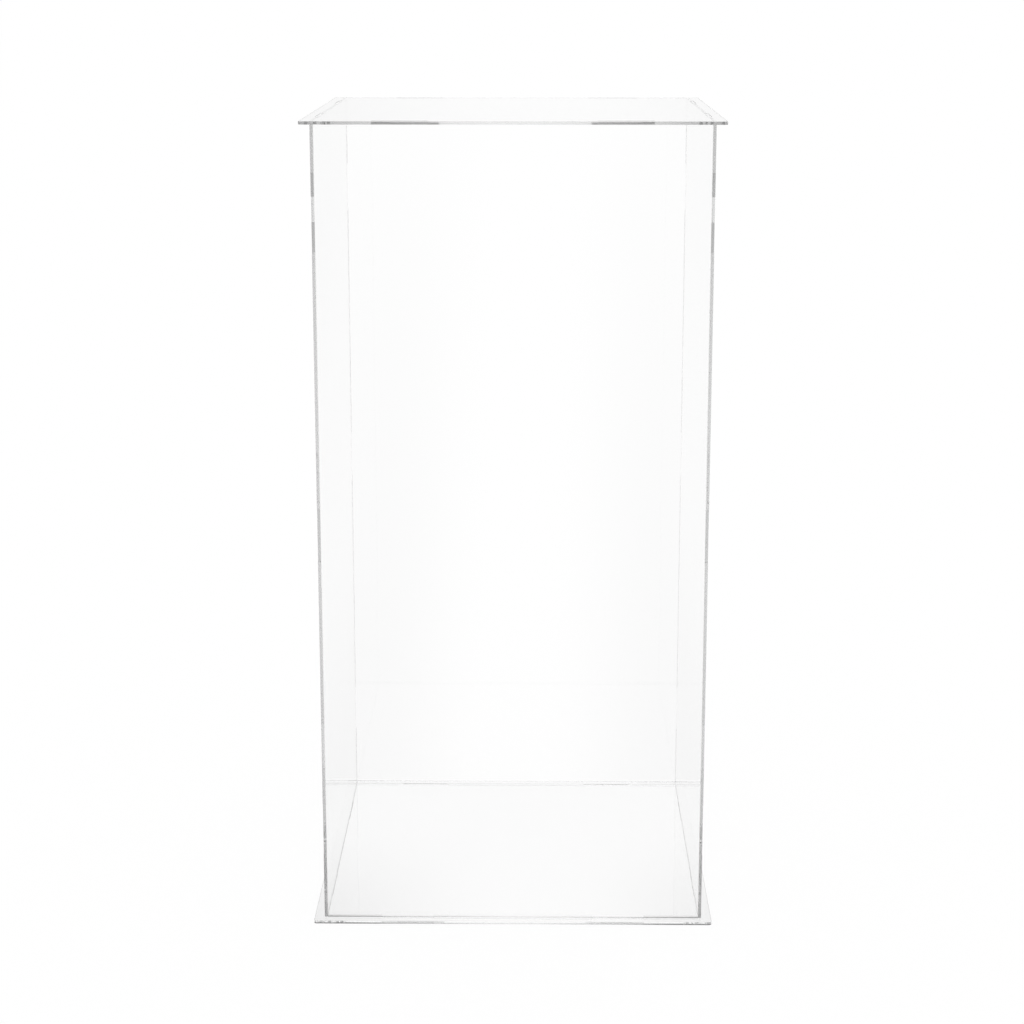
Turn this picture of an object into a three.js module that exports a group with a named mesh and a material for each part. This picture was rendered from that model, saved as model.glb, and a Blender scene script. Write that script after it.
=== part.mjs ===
// A clear display case that stands on a pedestal or a table: six laser-cut acrylic sheets that key
// together by tabs and slots, with no fastener. Two square plates close the ends and overhang the walls.
// Millimetres, +Z up, front towards -Y, origin under the middle of the base plate.
import * as THREE from "three";

// Driving dimensions
const SHEET = 3; // thickness of all six sheets
const PLATE_SIDE = 400; // base plate and top plate, both square
const PLATE_CORNER = 3; // radius of the plates' corners in plan
const CASE_SIDE = 380; // square that the four walls make, measured outside
const CASE_HEIGHT = 800; // underside of the base plate to the top plate's upper face
const TAB_LENGTH = 52;
const LEVEL_TAB_CENTRE = 106; // from the middle of a wall to the middle of its top and bottom tabs
const UPRIGHT_TAB_INSET = 94; // from a wall's top or bottom to the middle of its nearest upright tab
const KERF = 0.2; // gap that the laser leaves between a tab and its slot, and at a tab's end
const SLOT_CORNER = 0.2; // radius that the laser leaves in a slot's corners

const WALL_HEIGHT = CASE_HEIGHT - 2 * SHEET;
const TAB_REACH = SHEET - KERF; // a tab ends just short of the face it comes out at
const SLOT_LENGTH = TAB_LENGTH + 2 * KERF;
const SLOT_WIDTH = SHEET + 2 * KERF;
const WALL_MIDDLE = (CASE_SIDE - SHEET) / 2; // middle of the case to the middle of a wall's thickness
const QUARTER_TURN = Math.PI / 2;
const CURVE_DIVISIONS = 2; // a round corner gets twice as many straight steps

// Clear acrylic with polished edges.
const acrylic = () =>
  new THREE.MeshStandardMaterial({
    color: 0xf2f6f6,
    roughness: 0.08,
    metalness: 0,
    transparent: true,
    opacity: 0.25,
  });

function sheet(name, shape) {
  const geometry = new THREE.ExtrudeGeometry(shape, {
    depth: SHEET,
    bevelEnabled: false,
    curveSegments: CURVE_DIVISIONS,
  });
  const mesh = new THREE.Mesh(geometry, acrylic());
  mesh.name = name;
  return mesh;
}

// A rectangle with round corners, added to a shape's outline or to a hole's path.
function roundedRectangle(path, x, y, width, height, radius) {
  const right = width / 2 - radius;
  const top = height / 2 - radius;
  path.absarc(x + right, y + top, radius, 0, QUARTER_TURN);
  path.absarc(x - right, y + top, radius, QUARTER_TURN, 2 * QUARTER_TURN);
  path.absarc(x - right, y - top, radius, 2 * QUARTER_TURN, 3 * QUARTER_TURN);
  path.absarc(x + right, y - top, radius, 3 * QUARTER_TURN, 4 * QUARTER_TURN);
  return path;
}

// The square plate, with two slots for each of the four walls.
function plateShape() {
  const shape = roundedRectangle(new THREE.Shape(), 0, 0, PLATE_SIDE, PLATE_SIDE, PLATE_CORNER);
  const slot = (x, y, width, height) =>
    roundedRectangle(new THREE.Path(), x, y, width, height, SLOT_CORNER);
  for (const across of [-WALL_MIDDLE, WALL_MIDDLE]) {
    for (const along of [-LEVEL_TAB_CENTRE, LEVEL_TAB_CENTRE]) {
      shape.holes.push(slot(along, across, SLOT_LENGTH, SLOT_WIDTH));
      shape.holes.push(slot(across, along, SLOT_WIDTH, SLOT_LENGTH));
    }
  }
  return shape;
}

// The points along one edge of a wall, from its start corner on. Each tab stands out by reach,
// to the right of an anticlockwise walk round the sheet. A negative reach cuts a notch instead.
function edge(start, end, centres, length, reach) {
  const along = end.clone().sub(start).normalize();
  const out = new THREE.Vector2(along.y, -along.x);
  const point = (distance, step) =>
    start.clone().addScaledVector(along, distance).addScaledVector(out, step);
  const tabs = centres.flatMap((centre) => [
    point(centre - length / 2, 0),
    point(centre - length / 2, reach),
    point(centre + length / 2, reach),
    point(centre + length / 2, 0),
  ]);
  return [start, ...tabs];
}

// A wall sheet lying flat, with its bottom edge on y = 0: two tabs on its top and bottom edges, and
// three tabs or notches on each upright edge.
function wallShape(width, uprightLength, uprightReach) {
  const half = width / 2;
  const bottomLeft = new THREE.Vector2(-half, 0);
  const bottomRight = new THREE.Vector2(half, 0);
  const topRight = new THREE.Vector2(half, WALL_HEIGHT);
  const topLeft = new THREE.Vector2(-half, WALL_HEIGHT);
  const level = [half - LEVEL_TAB_CENTRE, half + LEVEL_TAB_CENTRE];
  const upright = [UPRIGHT_TAB_INSET, WALL_HEIGHT / 2, WALL_HEIGHT - UPRIGHT_TAB_INSET];
  return new THREE.Shape([
    ...edge(bottomLeft, bottomRight, level, TAB_LENGTH, TAB_REACH),
    ...edge(bottomRight, topRight, upright, uprightLength, uprightReach),
    ...edge(topRight, topLeft, level, TAB_LENGTH, TAB_REACH),
    ...edge(topLeft, bottomLeft, upright, uprightLength, uprightReach),
  ]);
}

// The side panels run the full depth and are notched. The front and back panels stand between
// them and send their upright tabs through the notches.
const NOTCH_DEPTH = SHEET + KERF;
const tabbedShape = () => wallShape(CASE_SIDE - 2 * NOTCH_DEPTH, TAB_LENGTH, KERF + TAB_REACH);
const notchedShape = () => wallShape(CASE_SIDE, SLOT_LENGTH, -NOTCH_DEPTH);

// Stands a wall up on the base plate, with its outer face on the front of the case, and turns it
// round the case by quarter turns.
function standing(wall, turns) {
  wall.rotation.x = QUARTER_TURN;
  wall.position.set(0, SHEET - CASE_SIDE / 2, SHEET);
  const side = new THREE.Group();
  side.rotation.z = turns * QUARTER_TURN;
  side.add(wall);
  return side;
}

const basePlate = sheet("base_plate", plateShape());

const walls = new THREE.Group();
walls.add(
  standing(sheet("front_panel", tabbedShape()), 0),
  standing(sheet("right_panel", notchedShape()), 1),
  standing(sheet("back_panel", tabbedShape()), 2),
  standing(sheet("left_panel", notchedShape()), 3),
);

// The top plate rests on the walls' top edges and lifts off as a lid.
const topPlate = sheet("top_plate", plateShape());
topPlate.position.z = CASE_HEIGHT - SHEET;

const displayCase = new THREE.Group();
displayCase.add(basePlate, walls, topPlate);

export default displayCase;
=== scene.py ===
import math

import bpy
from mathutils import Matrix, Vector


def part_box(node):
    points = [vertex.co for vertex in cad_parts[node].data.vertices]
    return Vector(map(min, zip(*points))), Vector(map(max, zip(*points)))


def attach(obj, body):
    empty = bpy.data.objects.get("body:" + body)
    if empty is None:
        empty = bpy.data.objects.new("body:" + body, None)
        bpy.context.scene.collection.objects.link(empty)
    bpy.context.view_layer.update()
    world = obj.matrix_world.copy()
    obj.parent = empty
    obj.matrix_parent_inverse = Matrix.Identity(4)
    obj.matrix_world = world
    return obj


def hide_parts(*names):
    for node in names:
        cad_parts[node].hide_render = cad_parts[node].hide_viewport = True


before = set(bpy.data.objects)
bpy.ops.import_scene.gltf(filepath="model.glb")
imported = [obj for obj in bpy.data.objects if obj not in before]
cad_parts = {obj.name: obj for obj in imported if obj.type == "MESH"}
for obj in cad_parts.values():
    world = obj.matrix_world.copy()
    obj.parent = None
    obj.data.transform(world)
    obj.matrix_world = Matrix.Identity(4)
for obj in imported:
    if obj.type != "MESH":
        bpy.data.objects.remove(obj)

scene = bpy.context.scene
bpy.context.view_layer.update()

# ---- The photograph's view ----------------------------------------------------------------------
# The camera stands in front of the case, a little above its top, and looks down at its middle.
# Metres, +Z up, front towards -Y. The photograph is cut from a taller frame, so the lens axis
# passes above its centre.
LOOK_DOWN = 12.58  # degrees
LOOK_ASIDE = 0.613  # degrees
lens = bpy.data.cameras.new("camera")
lens.lens = 78.1
lens.sensor_width = 36.0
lens.shift_y = -0.045
camera = bpy.data.objects.new("camera", lens)
camera.location = (0.0216, -2.281, 0.937)
camera.rotation_euler = (math.radians(90 - LOOK_DOWN), 0, math.radians(LOOK_ASIDE))
scene.collection.objects.link(camera)
scene.camera = camera


# ---- Base plate ---------------------------------------------------------------------------------
# A square of clear cast acrylic, laser-cut from 3 mm sheet, with rounded corners and eight slots
# that the walls' bottom tabs drop into. Its outer edges are clear at their middles, and have
# painted shade along their lower part near the corners.
class Socket:
    """An outlet of a node, for Python expressions. Each operator adds its own node."""

    def __init__(self, tree, outlet=None):
        self.tree = tree
        self.outlet = outlet

    def node(self, kind, settings=None, outlet=0, **values):
        """Adds a node with its settings and the values or links of its sockets, and gives an
        outlet. A socket is named by its label with _ for a space, or by _ and its number. A list
        links several outlets to one socket."""
        made = self.tree.nodes.new(kind)
        for name, value in (settings or {}).items():
            setattr(made, name, value)
        for name, value in values.items():
            inlet = made.inputs[int(name[1:]) if name[0] == "_" else name.replace("_", " ")]
            if isinstance(value, (Socket, list)):
                for source in value if isinstance(value, list) else [value]:
                    self.tree.links.new(source.outlet, inlet)
            else:
                inlet.default_value = value
        return Socket(self.tree, made.outputs[outlet] if made.outputs else None)

    def maths(self, operation, *values):
        numbered = {f"_{place}": value for place, value in enumerate(values)}
        return self.node("ShaderNodeMath", {"operation": operation}, **numbered)

    def __add__(self, other):
        return self.maths("ADD", self, other)

    def __radd__(self, other):
        return self.maths("ADD", other, self)

    def __sub__(self, other):
        return self.maths("SUBTRACT", self, other)

    def __rsub__(self, other):
        return self.maths("SUBTRACT", other, self)

    def __mul__(self, other):
        return self.maths("MULTIPLY", self, other)

    def __rmul__(self, other):
        return self.maths("MULTIPLY", other, self)

    def __truediv__(self, other):
        return self.maths("DIVIDE", self, other)

    def __rtruediv__(self, other):
        return self.maths("DIVIDE", other, self)

    def __lt__(self, other):
        return self.maths("LESS_THAN", self, other)

    def __gt__(self, other):
        return self.maths("GREATER_THAN", self, other)

    def __abs__(self):
        return self.maths("ABSOLUTE", self)


def smaller(first, second):
    return first.maths("MINIMUM", first, second)


def larger(first, second):
    return first.maths("MAXIMUM", first, second)


def vector(x, y, z):
    """A vector of three values, of which at least one is a Socket."""
    start = next(value for value in (x, y, z) if isinstance(value, Socket))
    return start.node("ShaderNodeCombineXYZ", X=x, Y=y, Z=z)


def parts_of(whole, axes):
    """The parts of a vector along the named axes."""
    return [whole.node("ShaderNodeSeparateXYZ", outlet=axis, Vector=whole) for axis in axes]


def sizes_of(whole, axes):
    """The parts of a vector along the named axes, without their signs."""
    return [abs(part) for part in parts_of(whole, axes)]


def new_material(name, surface, volume=None):
    """A material whose shaders are made by the functions surface and volume from a bare Socket."""
    material = bpy.data.materials.new(name)
    material.use_nodes = True
    tree = material.node_tree
    tree.nodes.clear()
    shaders = {"Surface": surface(Socket(tree))}
    if volume:
        shaders["Volume"] = volume(Socket(tree))
    Socket(tree).node("ShaderNodeOutputMaterial", **shaders)
    return material


ACRYLIC_INDEX = 1.49  # of refraction
ABSORPTION = 0.06  # share of light lost per metre of acrylic
FACE_SHADOW = 0.99  # share of a shadow ray that passes a polished face
EDGE_SHADOW = 0.85  # share of it that passes a cut edge
PAINTED_SHADE_GREY = (0.2, 0.2, 0.2, 1)  # painted shade: diffuse grey mixed into cut edges and wall feet where they show dark
PAINTED_GLINT_GREY = (0.95, 0.95, 0.95, 1)  # painted glint: pale grey on the outside of the top tabs' ends
PAINTED_GLINT_SHARE = 0.9  # of the surface of the top tabs' ends


def absorbing(start):
    """The acrylic's body, which keeps a little of the light on its way through."""
    return start.node("ShaderNodeVolumeAbsorption", Color=(0, 0, 0, 1), Density=ABSORPTION)


def clear_acrylic(tint, normal, roughness, shadow, painted_shade_share=None, painted_glint_share=None):
    """Acrylic that passes a share of the light, tint, at each face. A first given share of its
    surface is painted shade in diffuse grey, and a second is a painted glint in pale grey. Shadow
    rays go straight through, all but the share that shadow leaves out, so the sheets cast only a
    faint shadow."""
    acrylic = normal.node(
        "ShaderNodeBsdfPrincipled",
        # The shader passes the root of its colour at each face.
        Base_Color=tint * tint if isinstance(tint, Socket) else (tint, tint, tint, 1),
        Roughness=roughness,
        IOR=ACRYLIC_INDEX,
        Transmission_Weight=1.0,
        Normal=normal,
    )
    if painted_shade_share:
        # painted shade: diffuse grey mixed in where the cut shows dark
        painted_shade_part = normal.node("ShaderNodeBsdfDiffuse", Color=PAINTED_SHADE_GREY, Normal=normal)
        acrylic = normal.node("ShaderNodeMixShader", _0=painted_shade_share, _1=acrylic, _2=painted_shade_part)
    if painted_glint_share:
        # painted glint: pale grey where the ends of tabs show bright
        pale = normal.node("ShaderNodeBsdfDiffuse", Color=PAINTED_GLINT_GREY, Normal=normal)
        acrylic = normal.node("ShaderNodeMixShader", _0=painted_glint_share, _1=acrylic, _2=pale)
    is_shadow_ray = normal.node("ShaderNodeLightPath", outlet="Is Shadow Ray")
    clear = normal.node("ShaderNodeBsdfTransparent", Color=(shadow, shadow, shadow, 1))
    return normal.node("ShaderNodeMixShader", _0=is_shadow_ray, _1=acrylic, _2=clear)


WAVE_SIZE = 0.06  # of the slight waves that casting leaves in a face
WAVE_DEPTH = 0.000002
RIB_SPACING = 0.0004  # of the ribs that the laser leaves across a cut edge
RIB_DEPTH = 0.000002
UNEVEN_DETAIL = 2.0  # finer levels in the waves and ribs


def uneven(place, size, depth):
    """The normal of a surface whose height changes slightly from place to place."""
    height = place.node("ShaderNodeTexNoise", Vector=place, Scale=1 / size, Detail=UNEVEN_DETAIL)
    return height.node("ShaderNodeBump", Height=height, Distance=depth)


def place_on_sheet(start, name, axes):
    """The parts of a vector that the sheet's own tree keeps with its mesh: on_sheet is the place on
    the flat sheet in metres, and share_of_sheet is the same in halves of the sheet's sizes."""
    kept = start.node("ShaderNodeAttribute", {"attribute_name": name}, outlet="Vector")
    return parts_of(kept, axes)


GRAZING_HAZE_AND_SHADE = 0.1  # share of light that a face takes at the lowest angle, as haziness and painted shade
TAB_PAINTED_SHADE = 0.15  # painted shade: share of light that the outer face of an upright tab takes
PLAIN_BLEND = 0.5  # of Layer Weight, at which Facing is 1 less the cosine of the angle
FOOT_SHARE = 0.005  # of a wall's half height, along its foot, with painted shade where it meets the plate
TAB_LENGTH = 0.052
TAB_CENTRE = 0.106  # from the middle of a wall to the middle of its top and bottom tabs


def polished_face(foot=None):
    """The surface function of a polished face, with a trace of haziness and painted shade where it's
    seen from outside at a low angle. The outer faces of the tabs that show at the corners have more
    painted shade. A wall's foot has painted shade in diffuse grey along its cut edge, between the
    tabs, to a pair of shares at its middle and its corners."""

    def surface(start):
        facing = start.node("ShaderNodeLayerWeight", outlet="Facing", Blend=PLAIN_BLEND)
        from_outside = 1 - start.node("ShaderNodeNewGeometry", outlet="Backfacing")
        x, y, z = place_on_sheet(start, "share_of_sheet", "XYZ")
        across = abs(x)
        is_body = larger(across, abs(y)) < 1.0
        is_tab = (across > 1.0) * (z > 0.0)
        # darker at low angles, as haziness and painted shade, and on the tabs' outer faces, as
        # painted shade
        haze_and_shade = facing * facing * facing * is_body * GRAZING_HAZE_AND_SHADE + is_tab * TAB_PAINTED_SHADE
        waves = uneven(start.node("ShaderNodeTexCoord", outlet="Object"), WAVE_SIZE, WAVE_DEPTH)
        painted_shade_share = None
        if foot:
            # painted shade along the foot, where the wall meets the plate
            is_foot = is_body * (y < FOOT_SHARE - 1)
            from_middle = abs(place_on_sheet(start, "on_sheet", "X")[0])
            is_cut = abs(from_middle - TAB_CENTRE) > TAB_LENGTH / 2
            painted_shade_share = is_foot * is_cut * (foot[0] + across * across * (foot[1] - foot[0]))
        return clear_acrylic(1 - haze_and_shade * from_outside, waves, 0.0, FACE_SHADOW, painted_shade_share)

    return surface


CUT_ROUGHNESS = 0.03  # of a ribbed cut


def cut_relief(start, size, depth):
    """The normal of a cut that is uneven along the sheet's edge and even through its thickness."""
    x, y = place_on_sheet(start, "on_sheet", "XY")
    return uneven(vector(x, y, 0), size, depth)


def cut_edge(side, end, painted_shade_part=1.0, ribbed=True):
    """The surface function of a cut edge. The share of it that is painted shade, in diffuse grey, is
    given as a pair, at the middle and at the corners of a sheet's side edges, and as another for its
    end edges. The share holds for the given part of the sheet's thickness, from its lower face."""

    def surface(start):
        x, y, z = place_on_sheet(start, "share_of_sheet", "XYZ")
        across = abs(x)
        up = abs(y)
        along = smaller(across, up)
        is_end = up > across
        middle = side[0] + is_end * (end[0] - side[0])
        corner = side[1] + is_end * (end[1] - side[1])
        # painted shade, growing from the middle of each edge towards its corners
        painted_shade_share = (z < 2 * painted_shade_part - 1) * (middle + along * along * (corner - middle))
        if ribbed:
            ribs = cut_relief(start, RIB_SPACING, RIB_DEPTH)
            return clear_acrylic(1.0, ribs, CUT_ROUGHNESS, EDGE_SHADOW, painted_shade_share)
        return clear_acrylic(1.0, cut_relief(start, WAVE_SIZE, WAVE_DEPTH), 0.0, EDGE_SHADOW, painted_shade_share)

    return surface


SLOT_PAINTED_SHADE = 0.06  # share of painted shade, in diffuse grey, of the cuts in and round the slots and tabs
OUTER_SHARE = 0.006  # of a sheet's half side, within which a cut is part of its outer edge


def slot_surface(start):
    """The wall of a slot or notch, and the sides and ends of the tabs that go in them, with a little
    painted shade. The ends of the top tabs have a painted glint, in pale grey, on their outside."""
    [y] = place_on_sheet(start, "share_of_sheet", "Y")
    from_outside = 1 - start.node("ShaderNodeNewGeometry", outlet="Backfacing")
    # painted glint on the outside of the top tabs' ends
    painted_glint_share = (y > 1 + OUTER_SHARE) * from_outside * PAINTED_GLINT_SHARE
    ribs = cut_relief(start, RIB_SPACING, RIB_DEPTH)
    return clear_acrylic(1.0, ribs, CUT_ROUGHNESS, EDGE_SHADOW, SLOT_PAINTED_SHADE, painted_glint_share)


BASE_PAINTED_SHADE = (0.1, 0.8)  # shares of painted shade in the base plate's edges, at their middle and corners
BASE_SHADED_PART = 0.4  # of the thickness, from the underside, that has the painted shade
plate_face = new_material("clear_acrylic_face", polished_face(), absorbing)
slot_wall = new_material("laser_cut_slot", slot_surface, absorbing)
base_edge = new_material(
    "polished_base_edge",
    cut_edge(BASE_PAINTED_SHADE, BASE_PAINTED_SHADE, painted_shade_part=BASE_SHADED_PART, ribbed=False),
    absorbing,
)

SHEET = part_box("base_plate")[1].z  # thickness of all six sheets
PLATE_SIDE = 2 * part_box("base_plate")[1].x
PLATE_CORNER = 0.003  # radius
CASE_SIDE = 2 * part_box("right_panel")[1].x  # square that the four walls make, measured outside
WALL_SPAN = CASE_SIDE - SHEET  # between the middles of opposite walls
KERF = 0.0002  # gap that the laser leaves between a tab and its slot, and at a tab's end
SLOT_LENGTH = TAB_LENGTH + 2 * KERF
SLOT_CORNER = 0.0002  # radius
CORNER_STEPS = 6  # straight steps in a rounded corner
THROUGH = 3  # times the sheet's thickness that a cutter is thick
WELD = 0.000004  # distance within which points of a blank are one
POLISH = 0.0001  # radius that the laser melts the sheets' edges to
POLISH_STEPS = 2
HAIR = 0.00004  # air between two sheets that touch
FLAT_ANGLE = math.radians(1)  # under which two faces are one flat face
SHARP_ANGLE = math.radians(50)  # over which an edge is melted round
STEEP = 0.5  # upright part of a face's normal on the flat sheet, under which the face is a cut
SAME_FINISH = 0.1  # difference up to which two numbers of finishes are the same
QUARTER_TURN = math.pi / 2


def new_tree(name, *sizes):
    """A Geometry Nodes tree with a named input for each size and for the materials of the faces and
    of the outer edges. Gives the tree and its inputs."""
    tree = bpy.data.node_groups.new(name, "GeometryNodeTree")
    finishes = ("Face", "Edge")
    for size in sizes:
        tree.interface.new_socket(size, in_out="INPUT", socket_type="NodeSocketFloat")
    for finish in finishes:
        tree.interface.new_socket(finish, in_out="INPUT", socket_type="NodeSocketMaterial")
    tree.interface.new_socket("Geometry", in_out="OUTPUT", socket_type="NodeSocketGeometry")
    start = Socket(tree)
    return tree, [start.node("NodeGroupInput", outlet=label) for label in (*sizes, *finishes)]


def joined(*parts):
    """Several geometries as one."""
    return parts[0].node("GeometryNodeJoinGeometry", _0=list(parts))


def rounded_blank(width, height, radius, thickness):
    """A rounded rectangle of sheet that lies along the XY plane, with its middle at the origin."""
    outline = thickness.node("GeometryNodeCurvePrimitiveQuadrilateral", Width=width, Height=height)
    rounded = outline.node(
        "GeometryNodeFilletCurve", {"mode": "POLY"}, _0=outline, Count=CORNER_STEPS, Radius=radius
    )
    under = rounded.node("GeometryNodeFillCurve", {"mode": "NGONS"}, Curve=rounded)
    over = under.node("GeometryNodeExtrudeMesh", _0=under, Offset_Scale=thickness, Individual=False)
    both = joined(over, under.node("GeometryNodeFlipFaces", _0=under))
    whole = both.node("GeometryNodeMergeByDistance", _0=both, Distance=WELD)
    lowered = vector(0, 0, thickness * -0.5)
    return whole.node("GeometryNodeTransform", _0=whole, Translation=lowered)


def on_grid(piece, across, along, columns, rows):
    """Copies of a piece on the points of a grid in the XY plane, with its middle at the origin."""
    grid = piece.node("GeometryNodeMeshGrid", _0=across, _1=along, _2=columns, _3=rows)
    return grid.node("GeometryNodeInstanceOnPoints", Points=grid, Instance=piece)


def quarter_turned(piece):
    return piece.node("GeometryNodeTransform", _0=piece, Rotation=(0, 0, QUARTER_TURN))


def combined(operation, first, second):
    """The union of two solids, or the first one less the second."""
    second = second.node("GeometryNodeRealizeInstances", _0=second)
    settings = {"operation": operation, "solver": "MANIFOLD"}
    if operation == "UNION":
        return first.node("GeometryNodeMeshBoolean", settings, Mesh_2=[first, second])
    return first.node("GeometryNodeMeshBoolean", settings, Mesh_1=first, Mesh_2=second)


def keep(geometry, name, kind, domain, value):
    """The geometry with a value that its materials can read by name."""
    return geometry.node(
        "GeometryNodeStoreNamedAttribute",
        {"data_type": kind, "domain": domain},
        Geometry=geometry,
        Name=name,
        Value=value,
    )


def finish_sheet(flat, width, height, place, turn, face, edge):
    """Keeps where each point lies on the flat sheet, moves the sheet to its place, and gives its
    faces, its slots and tabs, and its outer edges their materials."""
    normal = flat.node("GeometryNodeInputNormal")
    [upright] = sizes_of(normal, "Z")
    point = flat.node("GeometryNodeInputPosition")
    shares = vector(2 / width, 2 / height, 2 / SHEET)
    share = point.node("ShaderNodeVectorMath", {"operation": "MULTIPLY"}, _0=point, _1=shares)
    is_cut = upright < STEEP
    is_outer = abs(larger(*sizes_of(share, "XY")) - 1) < OUTER_SHARE
    kept = keep(flat, "on_sheet", "FLOAT_VECTOR", "POINT", point)
    kept = keep(kept, "share_of_sheet", "FLOAT_VECTOR", "POINT", share)
    kept = keep(kept, "finish", "FLOAT", "FACE", is_cut + is_cut * is_outer)
    placed = kept.node("GeometryNodeTransform", Geometry=kept, Translation=place, Rotation=turn)
    made = placed.node("GeometryNodeRealizeInstances", Geometry=placed)
    finish = made.node("GeometryNodeInputNamedAttribute", {"data_type": "FLOAT"}, Name="finish")
    for number, material in enumerate((face, slot_wall, edge)):
        chosen = finish.maths("COMPARE", finish, number, SAME_FINISH)
        made = made.node("GeometryNodeSetMaterial", _0=made, Selection=chosen, Material=material)
    made.node("NodeGroupOutput", Geometry=made)


def cut_sheet(name, tree, **sizes):
    """One sheet as a plain mesh, from its tree and the sizes that the tree's inputs get."""
    shape = bpy.data.objects.new(name, bpy.data.meshes.new(name))
    scene.collection.objects.link(shape)
    cut = shape.modifiers.new("cut", "NODES")
    cut.node_group = tree
    for item in tree.interface.items_tree:
        if item.in_out == "INPUT":
            cut[item.identifier] = sizes[item.name.lower()]
    flat = shape.modifiers.new("flat faces", "DECIMATE")
    flat.decimate_type = "DISSOLVE"
    flat.angle_limit = FLAT_ANGLE
    flat.delimit = {"MATERIAL"}
    melted = shape.modifiers.new("melted corners", "BEVEL")
    melted.width = POLISH
    melted.segments = POLISH_STEPS
    melted.limit_method = "ANGLE"
    melted.angle_limit = SHARP_ANGLE
    melted.use_clamp_overlap = False
    seen = shape.evaluated_get(bpy.context.evaluated_depsgraph_get())
    mesh = bpy.data.meshes.new_from_object(seen)
    shape.modifiers.clear()
    for number in reversed(range(len(mesh.materials))):
        if mesh.materials[number] is None:
            mesh.materials.pop(index=number)
    shape.data = mesh
    return shape


def plate_tree():
    """A plate with two slots for each wall, with its underside at a height over the floor."""
    tree, (side, corner, thickness, height, face, edge) = new_tree(
        "slotted plate", "Side", "Corner", "Thickness", "Height"
    )
    blank = rounded_blank(side, side, corner, thickness)
    slot = rounded_blank(SLOT_LENGTH, thickness + 2 * KERF, SLOT_CORNER, thickness * THROUGH)
    slots = on_grid(slot, 2 * TAB_CENTRE, WALL_SPAN, 2, 2)
    slotted = combined("DIFFERENCE", blank, joined(slots, quarter_turned(slots)))
    middle = vector(0, 0, height + thickness * 0.5)
    finish_sheet(slotted, side, side, middle, (0, 0, 0), face, edge)
    return tree


plate = plate_tree()
base = cut_sheet(
    "base_plate_sheet",
    plate,
    side=PLATE_SIDE,
    corner=PLATE_CORNER,
    thickness=SHEET,
    height=0,
    face=plate_face,
    edge=base_edge,
)
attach(base, "base")
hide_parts("base_plate")

# ---- Side panels --------------------------------------------------------------------------------
# Two sheets of the same acrylic that run the full depth of the case. Notches in their upright edges
# take the tabs of the front and back panels, and tabs on their top and bottom edges drop into the
# plates. The laser leaves their edges ribbed. Their edges have a little painted shade, and so does
# the foot of their faces.
WALL_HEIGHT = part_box("top_plate")[0].z - SHEET
TAB_REACH = SHEET - KERF
NOTCH_DEPTH = SHEET + KERF
UPRIGHT_INSET = 0.094  # from a wall's top or bottom to the middle of its nearest upright tab
SIDE_FOOT = (0.4, 0.3)  # shares of painted shade at the faces' foot, at its middle and corners
SIDE_UPRIGHTS = (0.22, 0.32)  # shares of painted shade in the upright edges, at their middle and corners
SIDE_ENDS = (0.1, 0.1)  # shares of painted shade in the top and bottom edges, at their middle and corners
side_face = new_material("side_panel_face", polished_face(foot=SIDE_FOOT), absorbing)
side_edge = new_material("laser_cut_side_edge", cut_edge(SIDE_UPRIGHTS, SIDE_ENDS), absorbing)


def box(x, y, z):
    """A box with its middle at the origin."""
    size = vector(x, y, z)
    return size.node("GeometryNodeMeshCube", Size=size)


def wall_tree(name, notched):
    """A wall with its outer face on the front of the case, moved round the case by quarter turns.
    Its upright edges have notches or tabs of the given reach and length."""
    tree, (width, height, thickness, reach, length, turns, face, edge) = new_tree(
        name, "Width", "Height", "Thickness", "Reach", "Length", "Turns"
    )
    blank = box(width, height - 2 * HAIR, thickness)
    tab = box(TAB_LENGTH, 2 * TAB_REACH, thickness)
    wall = combined("UNION", blank, on_grid(tab, 2 * TAB_CENTRE, height, 2, 2))
    between = height - 2 * UPRIGHT_INSET
    if notched:
        notch = box(2 * reach, length, thickness * THROUGH)
        wall = combined("DIFFERENCE", wall, on_grid(notch, width, between, 2, 3))
    else:
        upright_tab = box(2 * reach, length, thickness)
        wall = combined("UNION", wall, on_grid(upright_tab, width, between, 2, 3))
    angle = turns * QUARTER_TURN
    across = WALL_SPAN / 2 * angle.maths("SINE", angle)
    outward = -WALL_SPAN / 2 * angle.maths("COSINE", angle)
    place = vector(across, outward, height * 0.5 + SHEET)
    finish_sheet(wall, width, height, place, vector(QUARTER_TURN, 0, angle), face, edge)
    return tree


def stand_wall(node, tree, width, reach, length, turns, face, edge):
    """One wall on the base plate, in the place of its node."""
    wall = cut_sheet(
        node + "_sheet",
        tree,
        width=width,
        height=WALL_HEIGHT,
        thickness=SHEET,
        reach=reach,
        length=length,
        turns=turns,
        face=face,
        edge=edge,
    )
    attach(wall, "cover")
    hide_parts(node)


notched_wall = wall_tree("notched wall", notched=True)
for panel, turns in (("right_panel", 1), ("left_panel", 3)):
    stand_wall(
        panel, notched_wall, CASE_SIDE, NOTCH_DEPTH, SLOT_LENGTH, turns, side_face, side_edge
    )

# ---- Front and back panels ----------------------------------------------------------------------
# Two sheets of the same acrylic that stand between the side panels. Three tabs on each of their
# upright edges sit in the side panels' notches and lock the corners. The front panel's top and
# bottom edges have the most painted shade, near their corners.
BETWEEN_NOTCHES = CASE_SIDE - 2 * NOTCH_DEPTH
UPRIGHT_REACH = KERF + TAB_REACH
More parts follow.
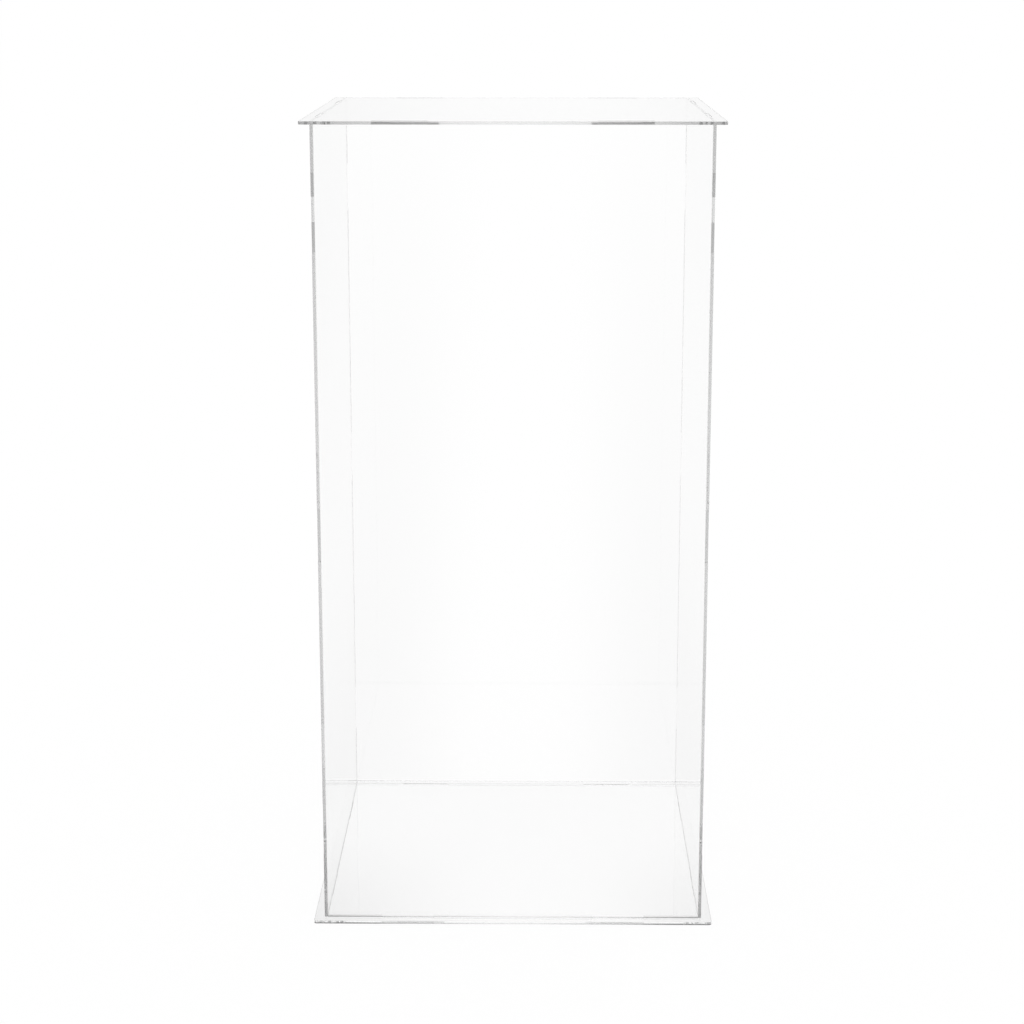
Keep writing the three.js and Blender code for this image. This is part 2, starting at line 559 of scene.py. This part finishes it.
# shares of painted shade, at the middle and the corners, of the faces' foot and of the edges
FRONT_FOOT = (0.03, 0.15)
BACK_FOOT = (0.02, 0.02)
UPRIGHTS = (0.2, 0.3)
FRONT_ENDS = (0.2, 0.8)
BACK_ENDS = (0.1, 0.1)
tabbed_wall = wall_tree("tabbed wall", notched=False)
for panel, turns, foot, ends in (
    ("front", 0, FRONT_FOOT, FRONT_ENDS),
    ("back", 2, BACK_FOOT, BACK_ENDS),
):
    face = new_material(panel + "_panel_face", polished_face(foot=foot), absorbing)
    edge = new_material(f"laser_cut_{panel}_edge", cut_edge(UPRIGHTS, ends), absorbing)
    stand_wall(
        panel + "_panel", tabbed_wall, BETWEEN_NOTCHES, UPRIGHT_REACH, TAB_LENGTH, turns, face, edge
    )

# ---- Top plate ----------------------------------------------------------------------------------
# The same sheet as the base plate. It rests on the walls' top edges, with their top tabs in its
# slots, and lifts off as a lid. Its polished edges have more painted shade towards the corners.
LID_PAINTED_SHADE = (0.09, 0.38)  # shares of painted shade in its edges, at their middle and corners
lid_edge = new_material(
    "lid_edge_painted_shade", cut_edge(LID_PAINTED_SHADE, LID_PAINTED_SHADE, ribbed=False), absorbing
)
lid = cut_sheet(
    "top_plate_sheet",
    plate,
    side=PLATE_SIDE,
    corner=PLATE_CORNER,
    thickness=SHEET,
    height=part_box("top_plate")[0].z,
    face=plate_face,
    edge=lid_edge,
)
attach(lid, "lid")
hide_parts("top_plate")

# ---- Floor and light ----------------------------------------------------------------------------
# A plain floor and an even sky, both about white, so the sheets show by the light that they turn
# aside or keep, and by the shade and glints painted into them. Seen by way of a sheet, the hall is
# dimmer between the four directions that the case's sides face, and so is the floor beside the case.
FLOOR_SIZE = 60.0
FLOOR_SHADE = 0.05  # share of the floor's light that comes from the sky, so it takes shadows
FLOOR_DIM = 0.06  # how much dimmer the floor is, close to the case
DIM_REACH = 0.4  # how fast that falls off, per metre
DIM_START = PLATE_SIDE * 0.5  # from the case's middle
DIM_END = PLATE_SIDE * 0.55
BAND_HALF_WIDTH = 0.1  # of the bright band of floor in front of the case and behind it
BAND_SPREAD = 0.035  # that the half width grows by per metre
BAND_EDGE = (0.3, 1.7)  # half widths from the band's middle, between which it ends
HALL_DIM = 0.5  # how much dimmer the hall is high up
HALL_LOW_DIM = 0.05  # and at every height
HALL_ASIDE = (0.01, 0.12)  # tangents of the angles off a bright direction, between which it dims
HALL_RISE = (21.5, 24.5)  # degrees over the horizon, between which high up begins


def smoothly(value, start, end):
    """Goes from 0 to 1 as the value goes from start to end."""
    return value.node(
        "ShaderNodeMapRange",
        {"interpolation_type": "SMOOTHSTEP"},
        Value=value,
        From_Min=start,
        From_Max=end,
    )


def floor_surface(start):
    x, y = sizes_of(start.node("ShaderNodeTexCoord", outlet="Object"), "XY")
    aside = smoothly(x / (y * BAND_SPREAD + BAND_HALF_WIDTH), *BAND_EDGE)
    dim = smoothly(larger(x, y), DIM_START, DIM_END) * FLOOR_DIM / ((x + y) * DIM_REACH + 1)
    by_way_of_sheet = start.node("ShaderNodeLightPath", outlet="Is Glossy Ray")
    level = 1 - FLOOR_SHADE - aside * dim * by_way_of_sheet
    lit = start.node("ShaderNodeBsdfDiffuse", Color=(FLOOR_SHADE, FLOOR_SHADE, FLOOR_SHADE, 1))
    glow = start.node("ShaderNodeEmission", Color=vector(level, level, level), Strength=1.0)
    return start.node("ShaderNodeAddShader", _0=lit, _1=glow)


def sky_surface(start):
    x, y, z = sizes_of(start.node("ShaderNodeTexCoord", outlet="Generated"), "XYZ")
    aside = smoothly(smaller(x, y) / larger(x, y), *HALL_ASIDE)
    high = smoothly(z, *(math.sin(math.radians(angle)) for angle in HALL_RISE))
    by_way_of_sheet = start.node("ShaderNodeLightPath", outlet="Is Glossy Ray")
    level = 1 - aside * (high * HALL_DIM + HALL_LOW_DIM) * by_way_of_sheet
    return start.node("ShaderNodeBackground", Color=vector(level, level, level), Strength=1.0)


bpy.ops.mesh.primitive_plane_add(size=FLOOR_SIZE, location=(0, 0, -HAIR))
floor = bpy.context.object
floor.name = "floor"
floor.data.materials.append(new_material("pale_floor", floor_surface))

world = bpy.data.worlds.new("studio")
world.use_nodes = True
world.node_tree.nodes.clear()
sky = sky_surface(Socket(world.node_tree))
sky.node("ShaderNodeOutputWorld", Surface=sky)
scene.world = world

INNER_BOUNCES = 200  # light runs on from face to face inside a sheet until it comes to an edge
SHADOW_FACES = 48  # faces that a shadow ray goes through
scene.view_settings.view_transform = "Standard"
scene.cycles.max_bounces = INNER_BOUNCES
scene.cycles.transmission_bounces = INNER_BOUNCES
scene.cycles.glossy_bounces = INNER_BOUNCES
scene.cycles.transparent_max_bounces = SHADOW_FACES
